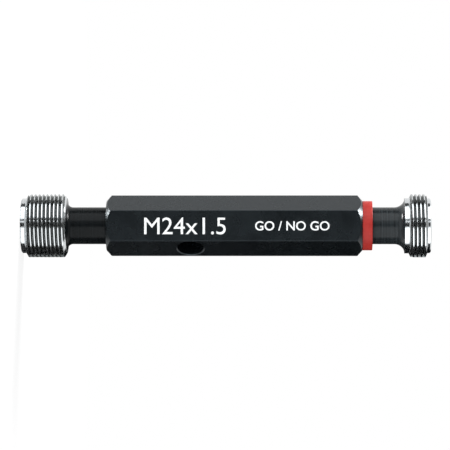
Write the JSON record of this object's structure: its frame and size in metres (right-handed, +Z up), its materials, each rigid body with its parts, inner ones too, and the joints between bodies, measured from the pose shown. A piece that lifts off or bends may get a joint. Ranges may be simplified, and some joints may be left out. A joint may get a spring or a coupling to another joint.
{
  "type": "thread plug gauge",
  "caption": "Double-ended thread plug gauge: hexagon handle with a long GO plug and a short, red-ringed NO GO plug held by taper shanks.",
  "frame": {"origin": "middle of the GO plug's end face, which the gauge stands on", "axes": "+Z up along the gauge's axis from the GO end to the NO GO end; -Y is the normal of the facet that carries the marking; the handle's corners lie on X"},
  "size_m": [0.024, 0.024, 0.1552],
  "materials": {
    "black_handle": "black anodised, satin",
    "gauge_steel": "hardened steel, plugs ground bright, necks blackened",
    "red_ring": "moulded, satin"
  },
  "bodies": {
    "root": {"handle": "black_handle", "go_member": "gauge_steel", "no_go_member": "gauge_steel", "no_go_ring": "red_ring"}
  },
  "joints": []
}
